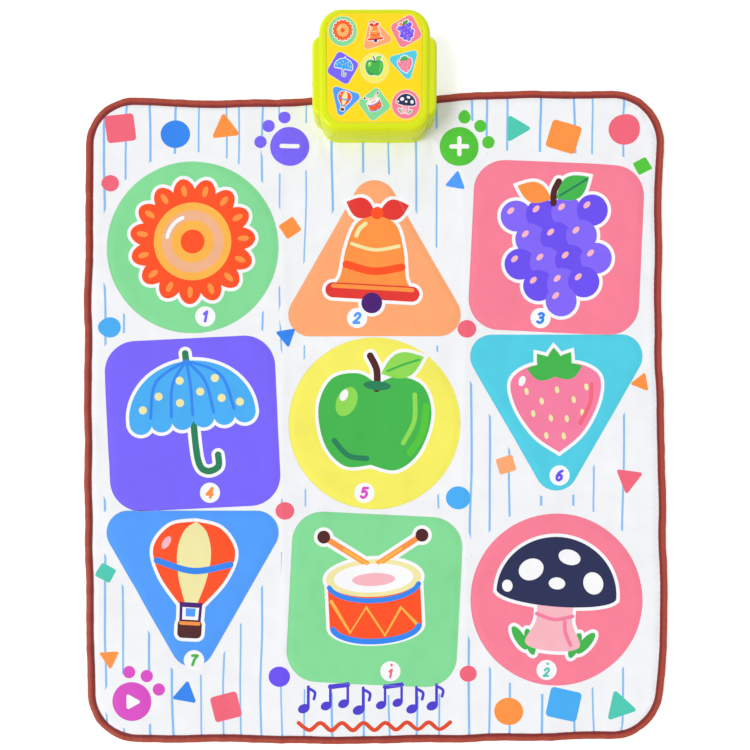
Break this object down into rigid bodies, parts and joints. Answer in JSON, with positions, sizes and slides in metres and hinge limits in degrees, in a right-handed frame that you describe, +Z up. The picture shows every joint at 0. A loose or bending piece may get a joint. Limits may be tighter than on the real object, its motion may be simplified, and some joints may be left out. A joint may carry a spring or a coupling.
{
  "type": "electronic dance mat",
  "caption": "Quilted floor mat with shaped step pads that press down, bound edge, control pads, and a raked electronic control box clamped to the middle of its top edge.",
  "frame": {"origin": "on the floor, at the middle of the whole object's footprint", "axes": "+Z up, +Y towards the edge that carries the control box, +X to the right of a player who faces it"},
  "size_m": [0.8, 0.985, 0.0578],
  "materials": {
    "printed_polyester": "printed satin polyester, matt",
    "binding_tape": "woven tape",
    "backing_fabric": "woven with rubber dots",
    "contact_film": "clear film",
    "spacer_foam": "closed-cell foam",
    "ribbon_film": "polyimide film",
    "lime_abs": "glossy moulding",
    "yellow_panel": "printed glossy panel",
    "white_abs": "moulded",
    "circuit_board": "solder mask",
    "lamp_epoxy": "clear epoxy",
    "steel": "zinc plated",
    "magnet": "ferrite",
    "paper_cone": "pressed paper",
    "cell_can": "sleeved can",
    "foot_rubber": "matt",
    "black_abs": "fine texture",
    "ink_peach": "printed",
    "ink_pink": "printed",
    "ink_mint": "printed",
    "ink_lemon": "printed",
    "ink_violet": "printed",
    "ink_sky": "printed",
    "ink_aqua": "printed",
    "ink_green": "printed",
    "ink_magenta": "printed"
  },
  "bodies": {
    "mat_and_box": {"backing_fabric": "backing_fabric", "cell_1": "cell_can", "cell_2": "cell_can", "cell_3": "cell_can", "clamp_screw_left": "steel", "clamp_screw_middle": "steel", "clamp_screw_right": "steel", "contact_plate_1": "steel", "contact_plate_2": "steel", "contact_plate_3": "steel", "contact_spring_1": "steel", "contact_spring_2": "steel", "contact_spring_3": "steel", "edge_binding": "binding_tape", "face_panel": "yellow_panel", "film_ribbon": "ribbon_film", "foot_left_back": "foot_rubber", "foot_left_front": "foot_rubber", "foot_right_back": "foot_rubber", "foot_right_front": "foot_rubber", "front_shell": "lime_abs", "lamp_1": "lamp_epoxy", "lamp_2": "lamp_epoxy", "lamp_3": "lamp_epoxy", "lamp_4": "lamp_epoxy", "lamp_5": "lamp_epoxy", "lamp_6": "lamp_epoxy", "lamp_7": "lamp_epoxy", "lamp_8": "lamp_epoxy", "lamp_9": "lamp_epoxy", "light_grid": "white_abs", "lower_contact_film": "contact_film", "main_board": "circuit_board", "mat_clamp_plate": "steel", "rear_shell": "lime_abs", "shell_screw_left": "steel", "shell_screw_right": "steel", "spacer_foam": "spacer_foam", "speaker_cone": "paper_cone", "speaker_frame": "steel", "speaker_magnet": "magnet", "switch_body": "black_abs", "top_quilt": "printed_polyester", "upper_contact_film": "contact_film"},
    "step_pad_1": {"step_pad_1": "ink_mint"},
    "step_pad_2": {"step_pad_2": "ink_peach"},
    "step_pad_3": {"step_pad_3": "ink_pink"},
    "step_pad_4": {"step_pad_4": "ink_violet"},
    "step_pad_5": {"step_pad_5": "ink_lemon"},
    "step_pad_6": {"step_pad_6": "ink_aqua"},
    "step_pad_7": {"step_pad_7": "ink_sky"},
    "step_pad_8": {"step_pad_8": "ink_mint"},
    "step_pad_9": {"step_pad_9": "ink_pink"},
    "volume_down_pad": {"volume_down_pad": "ink_violet"},
    "volume_up_pad": {"volume_up_pad": "ink_green"},
    "game_pad": {"game_pad": "ink_magenta"},
    "power_slider": {"power_slider": "black_abs"},
    "battery_door": {"battery_door": "lime_abs", "battery_door_screw": "steel"}
  },
  "joints": [
    {"name": "step_pad_1_press", "type": "slide", "parent": "mat_and_box", "child": "step_pad_1", "axis": [0, 0, -1], "range_m": [0, 0.001], "stiffness_N_per_m": 6000, "springref_m": -0.0005},
    {"name": "step_pad_2_press", "type": "slide", "parent": "mat_and_box", "child": "step_pad_2", "axis": [0, 0, -1], "range_m": [0, 0.001], "stiffness_N_per_m": 6000, "springref_m": -0.0005},
    {"name": "step_pad_3_press", "type": "slide", "parent": "mat_and_box", "child": "step_pad_3", "axis": [0, 0, -1], "range_m": [0, 0.001], "stiffness_N_per_m": 6000, "springref_m": -0.0005},
    {"name": "step_pad_4_press", "type": "slide", "parent": "mat_and_box", "child": "step_pad_4", "axis": [0, 0, -1], "range_m": [0, 0.001], "stiffness_N_per_m": 6000, "springref_m": -0.0005},
    {"name": "step_pad_5_press", "type": "slide", "parent": "mat_and_box", "child": "step_pad_5", "axis": [0, 0, -1], "range_m": [0, 0.001], "stiffness_N_per_m": 6000, "springref_m": -0.0005},
    {"name": "step_pad_6_press", "type": "slide", "parent": "mat_and_box", "child": "step_pad_6", "axis": [0, 0, -1], "range_m": [0, 0.001], "stiffness_N_per_m": 6000, "springref_m": -0.0005},
    {"name": "step_pad_7_press", "type": "slide", "parent": "mat_and_box", "child": "step_pad_7", "axis": [0, 0, -1], "range_m": [0, 0.001], "stiffness_N_per_m": 6000, "springref_m": -0.0005},
    {"name": "step_pad_8_press", "type": "slide", "parent": "mat_and_box", "child": "step_pad_8", "axis": [0, 0, -1], "range_m": [0, 0.001], "stiffness_N_per_m": 6000, "springref_m": -0.0005},
    {"name": "step_pad_9_press", "type": "slide", "parent": "mat_and_box", "child": "step_pad_9", "axis": [0, 0, -1], "range_m": [0, 0.001], "stiffness_N_per_m": 6000, "springref_m": -0.0005},
    {"name": "volume_down_pad_press", "type": "slide", "parent": "mat_and_box", "child": "volume_down_pad", "axis": [0, 0, -1], "range_m": [0, 0.001], "stiffness_N_per_m": 2500, "springref_m": -0.0005},
    {"name": "volume_up_pad_press", "type": "slide", "parent": "mat_and_box", "child": "volume_up_pad", "axis": [0, 0, -1], "range_m": [0, 0.001], "stiffness_N_per_m": 2500, "springref_m": -0.0005},
    {"name": "game_pad_press", "type": "slide", "parent": "mat_and_box", "child": "game_pad", "axis": [0, 0, -1], "range_m": [0, 0.001], "stiffness_N_per_m": 2500, "springref_m": -0.0005},
    {"name": "power_slider_travel", "type": "slide", "parent": "mat_and_box", "child": "power_slider", "axis": [0, 1, 0], "range_m": [0, 0.004]},
    {"name": "battery_door_hinge", "type": "hinge", "parent": "mat_and_box", "child": "battery_door", "pos_m": [-0.031, 0.4148, 0.0024], "axis": [-1, 0, 0], "range_deg": [0, 90]}
  ]
}
